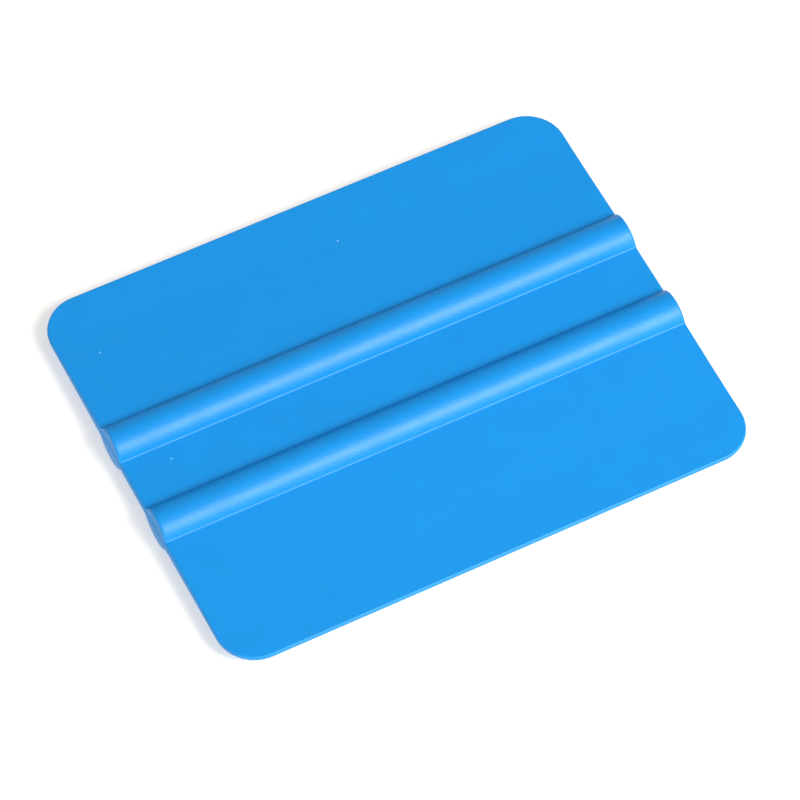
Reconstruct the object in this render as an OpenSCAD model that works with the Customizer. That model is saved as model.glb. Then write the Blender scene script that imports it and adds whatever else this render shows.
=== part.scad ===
// Hand applicator squeegee for pressing vinyl film onto a surface.
// One moulded plastic piece: a flexible blade with two long working edges,
// and two finger ribs that run its whole length on each face.
// X runs along the ribs, Y from the near working edge to the far one, Z is up.
// The origin is under the middle of the part, level with the crowns of the lower ribs.

/* [Blade] */
// Length of each working edge, along X
blade_l = 101.6; // [80:0.1:160]
// Width over the two working edges, along Y
blade_w = 80; // [72:0.1:120]
// Radius of the four corners, seen from above
corner_r = 7.2; // [3:0.1:12]
// Thickness of the flat land along each working edge
land_t = 1.1; // [0.8:0.05:1.4]
// Distance from the middle of the part to the inner border of each land
land_y = 31; // [24:0.5:34]
// Turn of that border in degrees, which leaves the land wider at the +X end
land_turn = 2.2; // [0:0.1:3]
// Slope of the wedge between a land and the nearer rib in degrees, on each face
wedge_slope = 2; // [1:0.1:3]

/* [Finger ribs] */
// Distance from the middle of the part to the centre line of each rib
rib_y = 9; // [8:0.1:12]
// Width of a rib where it leaves the channel between the ribs
rib_w = 7.7; // [6:0.1:9]
// Height of a rib above the floor of that channel
rib_h = 2.7; // [1.8:0.1:3.4]
// Thickness of the blade in the channel between the ribs
channel_t = 2; // [1.4:0.1:3]

/* [Hidden] */
$fn = 96;

crown_z = channel_t / 2 + rib_h;
land_z = land_t / 2;
// A rib is a slice of a cylinder: with this radius it is rib_w wide at the channel floor.
rib_r = (pow(rib_w / 2, 2) + pow(rib_h, 2)) / (2 * rib_h);
// The wedges run on under the ribs as far as the ribs' centre lines.
turn_y = tan(land_turn) * blade_l / 2;
root_z = land_z + tan(wedge_slope) * (land_y + turn_y - rib_y);
// Cutting blocks this long reach past the blade on every side.
reach = 2 * blade_l;

// A module's children on both sides of the middle, and on both faces.
module both_sides() {
    children();
    mirror([0, 1, 0]) children();
}

module both_faces() {
    children();
    mirror([0, 0, 1]) children();
}

// Outline of the part seen from above, with round corners.
module outline() {
    square([blade_l - 2 * corner_r, blade_w], center = true);
    square([blade_l, blade_w - 2 * corner_r], center = true);
    for (sx = [-1, 1], sy = [-1, 1])
        translate([sx * (blade_l / 2 - corner_r), sy * (blade_w / 2 - corner_r)])
            circle(r = corner_r);
}

// What is taken off one face beyond one rib: all that lies above the wedge and the land.
module face_cut() {
    intersection() {
        translate([-reach / 2, 0, land_z])
            cube([reach, reach, crown_z]);
        translate([0, land_y, land_z])
            rotate([0, 0, -land_turn])
                rotate([-wedge_slope, 0, 0])
                    translate([-reach / 2, -reach / 2, 0])
                        cube([reach, reach, crown_z]);
    }
}

// Half of the blade beyond the centre line of one rib, before the corners are rounded.
module wing() {
    difference() {
        translate([-blade_l / 2, rib_y, -root_z])
            cube([blade_l, blade_w / 2 - rib_y, 2 * root_z]);
        both_faces() face_cut();
    }
}

// Strip of blade between the centre lines of the two ribs.
module channel() {
    cube([blade_l, 2 * rib_y, channel_t], center = true);
}

// Upper half of one finger rib, from the middle of the blade's thickness up.
module rib() {
    translate([-blade_l / 2, 0, 0])
        rotate([90, 0, 90])
            linear_extrude(blade_l)
                intersection() {
                    translate([rib_y, crown_z - rib_r])
                        circle(r = rib_r);
                    translate([rib_y - rib_r, 0])
                        square([2 * rib_r, crown_z]);
                }
}

module applicator_body() {
    color("dodgerblue")
        translate([0, 0, crown_z])
            intersection() {
                translate([0, 0, -crown_z])
                    linear_extrude(2 * crown_z)
                        outline();
                union() {
                    channel();
                    both_sides() {
                        wing();
                        both_faces() rib();
                    }
                }
            }
}

applicator_body();
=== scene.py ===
"""Hand applicator squeegee: one moulded plastic piece on a white table under soft light.

The sizes of the piece are in millimetres, and become metres when a mesh, a light or a
camera is made. X runs along the finger ribs, Y from the near working edge to the far
one, and Z is up. The table is at Z = 0, level with the crowns of the lower ribs.
"""

from __future__ import annotations

import logging
import math
from dataclasses import dataclass, field
from enum import Enum

import bpy
import numpy as np
from mathutils import Matrix, Vector

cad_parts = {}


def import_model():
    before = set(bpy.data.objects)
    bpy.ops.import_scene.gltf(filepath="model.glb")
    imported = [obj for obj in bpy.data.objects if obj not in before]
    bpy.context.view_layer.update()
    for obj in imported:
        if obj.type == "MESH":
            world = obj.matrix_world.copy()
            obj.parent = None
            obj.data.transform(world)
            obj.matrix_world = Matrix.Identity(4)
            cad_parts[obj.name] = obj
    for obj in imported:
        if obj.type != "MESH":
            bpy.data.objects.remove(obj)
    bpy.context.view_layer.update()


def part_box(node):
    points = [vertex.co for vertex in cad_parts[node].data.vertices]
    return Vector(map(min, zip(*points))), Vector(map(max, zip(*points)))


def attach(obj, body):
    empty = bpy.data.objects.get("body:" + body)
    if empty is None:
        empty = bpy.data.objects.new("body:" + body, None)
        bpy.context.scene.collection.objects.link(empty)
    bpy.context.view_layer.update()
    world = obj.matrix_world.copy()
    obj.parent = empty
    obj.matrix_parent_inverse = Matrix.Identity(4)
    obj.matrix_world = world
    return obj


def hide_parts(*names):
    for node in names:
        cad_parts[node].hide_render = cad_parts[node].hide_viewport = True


log = logging.getLogger("applicator")

MM = 0.001
NODE = "applicator_body"
BODY = "root"


class Channel(Enum):
    """The outputs of a pattern that are read: its colour or its strength."""

    COLOUR = "Color"
    FACTOR = "Fac"


def linear(hex_colour: str) -> tuple[float, float, float, float]:
    """Turns an sRGB hex colour into Blender's linear colour.

    Args:
        hex_colour: six hex digits, red first.

    Returns:
        Linear red, green and blue, and an alpha of 1.
    """
    parts = (int(hex_colour[i : i + 2], 16) / 255 for i in (0, 2, 4))
    red, green, blue = (
        c / 12.92 if c <= 0.04045 else ((c + 0.055) / 1.055) ** 2.4 for c in parts
    )
    return red, green, blue, 1.0


def add_node(
    tree: bpy.types.NodeTree,
    kind: str,
    settings: dict[str, object] | None = None,
    inputs: dict[str | int, object] | None = None,
) -> bpy.types.Node:
    """Adds one node, with its settings, its constants and its links.

    Args:
        tree: the node tree that the node goes in.
        kind: Blender's name for the node's type.
        settings: attributes of the node and their values.
        inputs: input names or numbers, each with a constant or the socket to link.

    Returns:
        The new node.
    """
    node = tree.nodes.new(kind)
    for name, value in (settings or {}).items():
        setattr(node, name, value)
    for key, value in (inputs or {}).items():
        if isinstance(value, bpy.types.NodeSocket):
            tree.links.new(value, node.inputs[key])
        else:
            node.inputs[key].default_value = value
    return node


@dataclass(frozen=True)
class MouldedPlastic:
    """Polypropylene coloured in the mass, moulded against a spark-eroded steel tool.

    To the eye it is one even, saturated blue with a soft broad shine. The tool's grain
    breaks the shine up very finely, flow in the mould leaves faint cloudy tones, and a
    few pale pips of dust and moulding flash stand on it.
    """

    name: str = "moulded_polypropylene_blue"
    body_hex: str = "0C8CD8"
    cloud_hex: str = "0C85CE"
    pip_hex: str = "7CC4F7"
    ior: float = 1.49
    gloss: float = 0.36
    roughness: float = 0.42
    roughness_swing: float = 0.04
    # Real grain is near 0.12 mm and can't be seen at this distance, so it is drawn
    # coarser and deeper.
    grain_mm: float = 0.42
    grain_depth_mm: float = 0.030
    grain_layers: float = 2.0
    cloud_mm: float = 6.0
    cloud_layers: float = 3.0
    pip_spacing_mm: float = 26.0
    pip_r_mm: float = 0.22
    pip_core: float = 0.4
    pip_share: float = 0.25

    def build(self) -> bpy.types.Material:
        """Makes the material.

        Returns:
            A node material that reads Object coordinates only.
        """
        material = bpy.data.materials.new(self.name)
        material.use_nodes = True
        tree = material.node_tree
        tree.nodes.clear()
        place = add_node(tree, "ShaderNodeTexCoord").outputs["Object"]
        clouds = self._noise(tree, place, self.cloud_mm, self.cloud_layers)
        grain = self._noise(tree, place, self.grain_mm, self.grain_layers)
        tone = add_node(
            tree,
            "ShaderNodeMix",
            {"data_type": "RGBA"},
            {"Factor": clouds, "A": linear(self.body_hex), "B": linear(self.cloud_hex)},
        )
        pipped = add_node(
            tree,
            "ShaderNodeMix",
            {"data_type": "RGBA"},
            {
                "Factor": self._pips(tree, place),
                "A": tone.outputs["Result"],
                "B": linear(self.pip_hex),
            },
        )
        roughness = add_node(
            tree,
            "ShaderNodeMapRange",
            {},
            {
                "Value": clouds,
                "To Min": self.roughness - self.roughness_swing,
                "To Max": self.roughness + self.roughness_swing,
            },
        )
        bump = add_node(
            tree,
            "ShaderNodeBump",
            {},
            {"Height": grain, "Distance": self.grain_depth_mm * MM, "Strength": 1.0},
        )
        shader = add_node(
            tree,
            "ShaderNodeBsdfPrincipled",
            {},
            {
                "Base Color": pipped.outputs["Result"],
                "Roughness": roughness.outputs["Result"],
                "IOR": self.ior,
                "Specular IOR Level": self.gloss,
                "Normal": bump.outputs["Normal"],
            },
        )
        add_node(
            tree,
            "ShaderNodeOutputMaterial",
            {},
            {"Surface": shader.outputs["BSDF"]},
        )
        return material

    def _noise(
        self,
        tree: bpy.types.NodeTree,
        place: bpy.types.NodeSocket,
        lump_mm: float,
        layers: float,
    ) -> bpy.types.NodeSocket:
        """Adds a noise whose lumps are about lump_mm across.

        Args:
            tree: the material's nodes.
            place: the coordinates, in metres.
            lump_mm: distance between lumps.
            layers: how many finer layers lie on it.

        Returns:
            The socket with the noise's value, from 0 to 1.
        """
        node = add_node(
            tree,
            "ShaderNodeTexNoise",
            {"noise_dimensions": "3D"},
            {"Vector": place, "Scale": 1 / (lump_mm * MM), "Detail": layers},
        )
        return node.outputs[Channel.FACTOR.value]

    def _pips(
        self, tree: bpy.types.NodeTree, place: bpy.types.NodeSocket
    ) -> bpy.types.NodeSocket:
        """Adds sparse round specks: a cell's centre shows in only a share of the cells.

        The cells are flat ones in X and Y, so that each speck lies on the surface. A
        speck is at full strength out to pip_core of its radius, and fades from there.

        Args:
            tree: the material's nodes.
            place: the coordinates, in metres.

        Returns:
            The socket with the specks' strength, from 0 to 1.
        """
        cells = add_node(
            tree,
            "ShaderNodeTexVoronoi",
            {"voronoi_dimensions": "2D", "feature": "F1"},
            {"Vector": place, "Scale": 1 / (self.pip_spacing_mm * MM)},
        )
        radius = self.pip_r_mm / self.pip_spacing_mm
        near = add_node(
            tree,
            "ShaderNodeMapRange",
            {"interpolation_type": "SMOOTHSTEP"},
            {
                "Value": cells.outputs["Distance"],
                "From Min": radius,
                "From Max": self.pip_core * radius,
            },
        )
        chosen = add_node(
            tree,
            "ShaderNodeMath",
            {"operation": "LESS_THAN"},
            {0: cells.outputs[Channel.COLOUR.value], 1: self.pip_share},
        )
        both = add_node(
            tree,
            "ShaderNodeMath",
            {"operation": "MULTIPLY"},
            {0: near.outputs["Result"], 1: chosen.outputs["Value"]},
        )
        return both.outputs["Value"]


@dataclass(frozen=True)
class LightTable:
    """Opal acrylic table top of a slightly warm matt white, lit weakly from below.

    The warmth offsets the blue that the piece throws into its own shadow, and the glow
    keeps that shadow pale.
    """

    name: str = "table_opal_acrylic_white"
    white_hex: str = "E2DCD3"
    glow_hex: str = "FFFFFF"
    roughness: float = 0.9
    gloss: float = 0.1
    glow: float = 0.42

    def build(self) -> bpy.types.Material:
        """Makes the material.

        Returns:
            A node material of one matt white that glows a little.
        """
        material = bpy.data.materials.new(self.name)
        material.use_nodes = True
        tree = material.node_tree
        tree.nodes.clear()
        shader = add_node(
            tree,
            "ShaderNodeBsdfPrincipled",
            {},
            {
                "Base Color": linear(self.white_hex),
                "Roughness": self.roughness,
                "Specular IOR Level": self.gloss,
                "Emission Color": linear(self.glow_hex),
                "Emission Strength": self.glow,
            },
        )
        add_node(
            tree,
            "ShaderNodeOutputMaterial",
            {},
            {"Surface": shader.outputs["BSDF"]},
        )
        return material


@dataclass(frozen=True)
class Section:
    """Heights of one face of the applicator over the middle of its thickness, in mm."""

    channel_t: float = 2.0
    land_t: float = 1.1
    land_y: float = 31.0
    land_turn: float = 2.2
    wedge_slope: float = 2.0
    rib_y: float = 9.0
    rib_w: float = 7.7
    rib_h: float = 2.7
    toe_r: float = 0.4
    crease: float = 0.05

    @property
    def rib_r(self) -> float:
        """Radius of a rib's crown: the circle through the crown and the channel floor."""
        return ((self.rib_w / 2) ** 2 + self.rib_h**2) / (2 * self.rib_h)

    @property
    def rib_centre_z(self) -> float:
        """Height of the crown circle's centre."""
        return self.channel_t / 2 + self.rib_h - self.rib_r

    def wing(self, x: np.ndarray, off: np.ndarray) -> np.ndarray:
        """Height of the wedge and the land beyond a rib.

        The wedge is a plane that falls away from the ribs, the land is level, and the
        higher of the two counts. Where they differ by less than crease, the surface is
        raised by a quarter of the square of what is missing, over crease, so that the
        border is a soft bend.

        Args:
            x: places along the ribs.
            off: distances from the middle of the part.

        Returns:
            Heights.
        """
        turn = math.radians(self.land_turn)
        inward = (self.land_y - off) * math.cos(turn) - x * math.sin(turn)
        wedge = self.land_t / 2 + math.tan(math.radians(self.wedge_slope)) * inward
        land = np.full_like(wedge, self.land_t / 2)
        missing = np.clip(self.crease - np.abs(wedge - land), 0, None)
        return np.maximum(wedge, land) + missing**2 / (4 * self.crease)

    def toe_reach(self, floor: np.ndarray) -> np.ndarray:
        """Distance from a rib's centre line to where its toe fillet meets a level floor.

        The fillet's centre is toe_r above the floor, and rib_r + toe_r from the centre
        of the crown circle.
        """
        rise = floor + self.toe_r - self.rib_centre_z
        return np.sqrt((self.rib_r + self.toe_r) ** 2 - rise**2)

    def height(self, x: np.ndarray, y: np.ndarray) -> np.ndarray:
        """Height of the upper face.

        Over a rib it is the crown circle, then the toe fillet, which bends the other way
        and ends level, and then the floor: the channel's between the ribs, and the
        wing's beyond them.

        Args:
            x: places along the ribs.
            y: places across them.

        Returns:
            Heights over the middle of the thickness.
        """
        off = np.abs(y)
        side = off - self.rib_y
        channel = np.full_like(off, self.channel_t / 2)
        beyond = self.wing(x, off)
        root = self.wing(x, np.full_like(off, self.rib_y + self.rib_w / 2))
        floor = np.where(side < 0, channel, root)
        reach = self.toe_reach(floor)
        toe = reach * self.rib_r / (self.rib_r + self.toe_r)
        span = np.abs(side)
        crown = self.rib_centre_z + np.sqrt(
            np.clip(self.rib_r**2 - span**2, 0, None)
        )
        sunk = np.clip(self.toe_r**2 - (span - reach) ** 2, 0, None)
        fillet = floor + self.toe_r - np.sqrt(sunk)
        ground = np.where(side < 0, channel, beyond + (floor - root))
        return np.where(span < toe, crown, np.where(span < reach, fillet, ground))


@dataclass
class ApplicatorBody:
    """The whole applicator: blade, wedges, lands and finger ribs, in one moulding."""

    section: Section = field(default_factory=Section)
    finish: MouldedPlastic = field(default_factory=MouldedPlastic)
    name: str = "applicator_moulding"
    corner_r: float = 7.2
    edge_share: float = 0.27
    edge_r_most: float = 0.45
    draft_deg: float = 2.5
    parting_ridge: float = 0.03
    toe_band: float = 0.55
    inner_margin: float = 0.1
    outer_margin: float = 0.15
    channel_rows: int = 6
    toe_rows: int = 15
    crown_rows: int = 40
    wedge_rows: int = 21
    arc_steps: int = 6
    corner_steps: int = 16
    length_steps: int = 44
    end_steps: tuple[float, float] = (0.15, 0.6)
    inset_rounds: int = 3

    def __post_init__(self) -> None:
        """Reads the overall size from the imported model."""
        low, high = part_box(NODE)
        self.half_l = (high.x - low.x) / 2 / MM
        self.half_w = (high.y - low.y) / 2 / MM
        self.mid_z = (low.z + high.z) / 2 / MM

    def _rows(self) -> np.ndarray:
        """Places of the mesh rows across the outline, close together where it bends.

        Over a crown they are even in angle. Each toe has a band of its own, which
        starts toe_band inside the crown and ends a margin past the fillet.

        Returns:
            Distances from the middle, from the near edge to the far one.
        """
        s = self.section
        inner = s.toe_reach(np.array(s.channel_t / 2))
        outer = s.toe_reach(s.wing(np.array(0.0), np.array(s.rib_y + s.rib_w / 2)))
        band = self.toe_band
        channel_end = s.rib_y - inner - self.inner_margin
        wedge_start = s.rib_y + outer + self.outer_margin
        corner = self.half_w - self.corner_r
        swing = np.linspace(0, math.pi / 2, self.corner_steps + 1)
        around = np.linspace(-1, 1, self.crown_rows + 1) * math.pi / 2
        crown = s.rib_y + (inner - band) * np.sin(around)
        crown = np.where(
            crown > s.rib_y,
            s.rib_y + (crown - s.rib_y) * (outer - band) / (inner - band),
            crown,
        )
        inner_toe = (channel_end, s.rib_y - inner + band, self.toe_rows + 1)
        outer_toe = (s.rib_y + outer - band, wedge_start, self.toe_rows + 1)
        half = np.concatenate(
            [
                np.linspace(0, channel_end, self.channel_rows + 1)[:-1],
                np.linspace(*inner_toe)[:-1],
                crown[:-1],
                np.linspace(*outer_toe)[:-1],
                np.linspace(wedge_start, corner, self.wedge_rows + 1)[:-1],
                corner + self.corner_r * np.sin(swing),
            ]
        )
        return np.concatenate([-half[:0:-1], half])

    def _outline(self, rows: np.ndarray) -> tuple[np.ndarray, np.ndarray]:
        """Outline of the piece seen from above, and its outward directions.

        The left side has one point per row. On the straight stretch it is the short
        edge, and in the corners it is a quarter circle. The long edges have a point for
        each step along them. The right side mirrors the left.

        Args:
            rows: places of the rows across the outline.

        Returns:
            Points and unit directions, anticlockwise from the near end of the right side.
        """
        corner_y = self.half_w - self.corner_r
        past = np.clip(np.abs(rows) - corner_y, 0, self.corner_r) / self.corner_r
        swing = np.arcsin(past)
        out_y = np.sign(rows) * np.sin(swing)
        x = self.half_l - self.corner_r + self.corner_r * np.cos(swing)
        right = np.stack([x, rows], 1)
        right_out = np.stack([np.cos(swing), out_y], 1)
        along = self._steps()[1:-1, None] * (self.half_l - self.corner_r)
        far = np.concatenate([-along, np.full_like(along, self.half_w)], 1)
        far_out = np.tile([0.0, 1.0], (len(along), 1))
        points = np.concatenate([right, far, -right, -far])
        outward = np.concatenate([right_out, far_out, -right_out, -far_out])
        return points, outward

    def _steps(self) -> np.ndarray:
        """Places of the mesh columns as shares of a row's half length.

        They are even along the row, with two more at end_steps from each end, which
        keep the rounded edge's shading off the flat face.

        Returns:
            Shares from -1 to 1.
        """
        even = np.linspace(-1, 1, self.length_steps + 1)
        close = np.array(self.end_steps) / self.half_l
        return np.concatenate([[-1], -1 + close, even[1:-1], 1 - close[::-1], [1]])

    def _edge_radius(self, points: np.ndarray) -> np.ndarray:
        """Radius of the rounded edge: edge_share of the thickness, at most edge_r_most."""
        thickness = 2 * self.section.height(np.zeros(len(points)), points[:, 1])
        return np.minimum(self.edge_share * thickness, self.edge_r_most)

    def mesh(self) -> bpy.types.Mesh:
        """Builds the closed surface.

        Each face is a grid of rows along X, whose ends lie on a copy of the outline set
        inwards by the edge's radius and the draft. A band of loops joins the two grids:
        a quarter circle down from the upper face, a drafted wall out to the parting
        line at half thickness, and the same again mirrored.

        Returns:
            The mesh, with faces outwards.
        """
        rows = self._rows()
        steps = self._steps()
        points, outward = self._outline(rows)
        n_rows, n_cols = len(rows), len(steps)
        radius = self._edge_radius(points)
        draft = math.tan(math.radians(self.draft_deg))
        # The top depends a little on how far in it starts, so it is found in rounds.
        inset = radius
        for _ in range(self.inset_rounds):
            at = points - outward * inset[:, None]
            top = self.section.height(at[:, 0], at[:, 1])
            wall_in = draft * (top - radius) + self.parting_ridge
            inset = radius + wall_in
        ends = points - outward * inset[:, None]
        right = ends[:n_rows]
        left = ends[n_rows + n_cols - 2 : 2 * n_rows + n_cols - 2][::-1]
        share = (steps[None, :, None] + 1) / 2
        grid = left[:, None] * (1 - share) + right[:, None] * share
        grid_z = self.section.height(grid[..., 0], grid[..., 1])

        loops = []
        for bend in np.linspace(90, 0, self.arc_steps + 1)[1:]:
            turn = math.radians(bend)
            back = wall_in + radius * (1 - math.cos(turn))
            z = top - radius * (1 - math.sin(turn))
            loops.append((back, z))
        ridge = np.full(len(points), self.parting_ridge)
        loops.append((ridge, ridge))
        upper = [self._loop(points, outward, back, z) for back, z in loops]
        line = self._loop(points, outward, 0 * ridge, 0 * ridge)
        lower = [loop * [1, 1, -1] for loop in reversed(upper)]
        band = np.concatenate([*upper, line, *lower])

        face = np.concatenate([grid, grid_z[..., None]], 2).reshape(-1, 3)
        coords = np.concatenate([face, face * [1, 1, -1], band])
        coords[:, 2] += self.mid_z
        faces = self._faces(n_rows, n_cols, len(points), len(upper) * 2 + 1)

        mesh = bpy.data.meshes.new(self.name)
        mesh.from_pydata((coords * MM).tolist(), [], faces.tolist())
        mesh.polygons.foreach_set("use_smooth", np.ones(len(faces), bool))
        mesh.update()
        return mesh

    @staticmethod
    def _loop(
        points: np.ndarray, outward: np.ndarray, back: np.ndarray, z: np.ndarray
    ) -> np.ndarray:
        """One loop round the piece, set in from the outline by back, at height z."""
        return np.concatenate([points - outward * back[:, None], z[:, None]], 1)

    @staticmethod
    def _faces(n_rows: int, n_cols: int, n_loop: int, n_loops: int) -> np.ndarray:
        """Lists the quads of the two grids and of the band between them.

        Args:
            n_rows: rows in each grid.
            n_cols: columns in each grid.
            n_loop: points in one loop of the band.
            n_loops: loops in the band.

        Returns:
            Four point numbers per quad, anticlockwise seen from outside.
        """
        grid = np.arange(n_rows * n_cols).reshape(n_rows, n_cols)
        upper = np.stack(
            [grid[:-1, :-1], grid[:-1, 1:], grid[1:, 1:], grid[1:, :-1]], -1
        ).reshape(-1, 4)
        lower = upper[:, ::-1] + grid.size
        rim = np.concatenate(
            [grid[:, -1], grid[-1, -2:0:-1], grid[::-1, 0], grid[0, 1:-1]]
        )
        loops = np.concatenate(
            [
                rim[None],
                2 * grid.size + np.arange(n_loops * n_loop).reshape(n_loops, n_loop),
                rim[None] + grid.size,
            ]
        )
        after = np.roll(loops, -1, axis=1)
        band = np.stack([loops[:-1], loops[1:], after[1:], after[:-1]], -1)
        return np.concatenate([upper, lower, band.reshape(-1, 4)])

    def build(self) -> bpy.types.Object:
        """Makes the piece, dresses it and puts it in place of the plain solid.

        Returns:
            The piece.
        """
        piece = bpy.data.objects.new(self.name, self.mesh())
        bpy.context.scene.collection.objects.link(piece)
        piece.data.materials.append(self.finish.build())
        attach(piece, BODY)
        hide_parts(NODE)
        return piece


@dataclass(frozen=True)
class SoftBox:
    """A rectangular studio light that looks at the middle of the table."""

    name: str
    azimuth: float
    elevation: float
    distance_mm: float
    width_mm: float
    height_mm: float
    watts: float

    def build(self) -> bpy.types.Object:
        """Makes the light.

        Returns:
            An area light turned towards the middle of the table.
        """
        lamp = bpy.data.lights.new(self.name, "AREA")
        lamp.shape = "RECTANGLE"
        lamp.size = self.width_mm * MM
        lamp.size_y = self.height_mm * MM
        lamp.energy = self.watts
        light = bpy.data.objects.new(self.name, lamp)
        bpy.context.scene.collection.objects.link(light)
        away = direction(self.azimuth, self.elevation)
        light.location = away * self.distance_mm * MM
        light.rotation_mode = "QUATERNION"
        light.rotation_quaternion = away.to_track_quat("Z", "Y")
        return light


def direction(azimuth: float, elevation: float) -> Vector:
    """Unit vector from the piece towards a light or the camera.

    Args:
        azimuth: degrees from the near side, towards +X.
        elevation: degrees above the table.

    Returns:
        The direction.
    """
    a, e = math.radians(azimuth), math.radians(elevation)
    return Vector(
        (math.sin(a) * math.cos(e), -math.cos(a) * math.cos(e), math.sin(e))
    )


@dataclass
class Studio:
    """White table, soft daylight that is dimmer from the far side, and a soft box."""

    table_mm: float = 6000.0
    sky_hex: str = "FFFFFF"
    sky_strength: float = 0.8
    dim_strength: float = 0.3
    dim_azimuth: float = 150.0
    dim_elevation: float = 40.0
    top: LightTable = field(default_factory=LightTable)
    boxes: tuple[SoftBox, ...] = (
        SoftBox(
            name="key_box",
            azimuth=25.0,
            elevation=46.0,
            distance_mm=900.0,
            width_mm=350.0,
            height_mm=520.0,
            watts=8.8,
        ),
    )

    def build(self) -> None:
        """Makes the table, the sky and the lights."""
        self._table()
        self._sky()
        for box in self.boxes:
            box.build()
            log.info("light %s", box.name)

    def _table(self) -> None:
        """Makes the table top as one large flat sheet at Z = 0."""
        half = self.table_mm / 2 * MM
        corners = [(-half, -half, 0), (half, -half, 0), (half, half, 0), (-half, half, 0)]
        mesh = bpy.data.meshes.new("table_top")
        mesh.from_pydata(corners, [], [(0, 1, 2, 3)])
        mesh.materials.append(self.top.build())
        table = bpy.data.objects.new("table_top", mesh)
        bpy.context.scene.collection.objects.link(table)

    def _sky(self) -> None:
        """Makes a white surround that fades towards its dim side."""
        world = bpy.data.worlds.new("studio_surround")
        world.use_nodes = True
        tree = world.node_tree
        tree.nodes.clear()
        facing = add_node(
            tree,
            "ShaderNodeVectorMath",
            {"operation": "DOT_PRODUCT"},
            {
                0: add_node(tree, "ShaderNodeTexCoord").outputs["Generated"],
                1: direction(self.dim_azimuth, self.dim_elevation),
            },
        )
        level = add_node(
            tree,
            "ShaderNodeMapRange",
            {"interpolation_type": "SMOOTHSTEP"},
            {
                "Value": facing.outputs["Value"],
                "To Min": self.sky_strength,
                "To Max": self.dim_strength,
            },
        )
        shine = add_node(
            tree,
            "ShaderNodeBackground",
            {},
            {"Color": linear(self.sky_hex), "Strength": level.outputs["Result"]},
        )
        add_node(
            tree,
            "ShaderNodeOutputWorld",
            {},
            {"Surface": shine.outputs["Background"]},
        )
        bpy.context.scene.world = world


@dataclass(frozen=True)
class LongLensCamera:
    """A long lens held over the left end of the near edge, looking down at the piece."""

    azimuth: float = -29.54
    elevation: float = 57.91
    roll: float = 2.76
    distance_mm: float = 872.7
    aim_mm: tuple[float, float, float] = (-1.25, -4.25, 3.7)
    lens_mm: float = 225.8
    sensor_mm: float = 36.0

    def build(self) -> bpy.types.Object:
        """Makes the camera and hands it to the scene.

        Returns:
            The camera.
        """
        lens = bpy.data.cameras.new("long_lens")
        lens.lens = self.lens_mm
        lens.sensor_width = self.sensor_mm
        camera = bpy.data.objects.new("long_lens", lens)
        bpy.context.scene.collection.objects.link(camera)
        back = direction(self.azimuth, self.elevation)
        turned = back.to_track_quat("Z", "Y").to_matrix() @ Matrix.Rotation(
            math.radians(self.roll), 3, "Z"
        )
        place = turned.to_4x4()
        place.translation = (Vector(self.aim_mm) + back * self.distance_mm) * MM
        camera.matrix_world = place
        bpy.context.scene.camera = camera
        return camera


def main() -> None:
    """Builds the piece, the studio and the camera."""
    logging.basicConfig(level=logging.INFO, format="%(name)s: %(message)s")
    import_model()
    LongLensCamera().build()
    Studio().build()
    piece = ApplicatorBody().build()
    log.info("piece %s with %d faces", piece.name, len(piece.data.polygons))
    bpy.context.scene.view_settings.view_transform = "Standard"
    bpy.context.view_layer.update()


if __name__ == "__main__":
    main()
